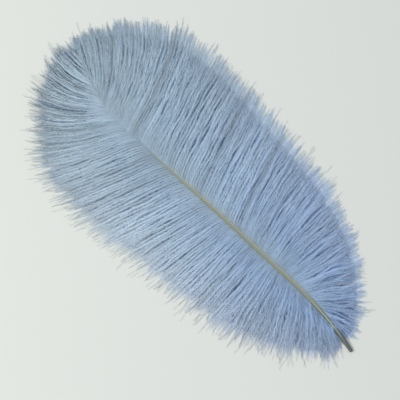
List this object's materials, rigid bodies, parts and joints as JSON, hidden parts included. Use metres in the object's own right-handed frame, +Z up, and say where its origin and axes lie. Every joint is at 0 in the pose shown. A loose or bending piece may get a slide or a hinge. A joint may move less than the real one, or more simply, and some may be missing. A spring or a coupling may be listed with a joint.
{
  "type": "ostrich feather",
  "caption": "Broad dyed plume lying flat: a slender shaft with a short bare quill and a soft, full vane of drooping barbs gathered in locks.",
  "frame": {"origin": "middle of the feather's outline, on the surface it lies on", "axes": "+X along the feather from quill to tip, +Y across it, +Z up from the surface, out of its convex side"},
  "size_m": [0.3388, 0.186, 0.0147],
  "materials": {
    "vane": "matt, downy, dyed dusty blue",
    "shaft": "smooth horn, straw-coloured, grey-green at the quill"
  },
  "bodies": {
    "root": {"feather": "vane"}
  },
  "joints": []
}
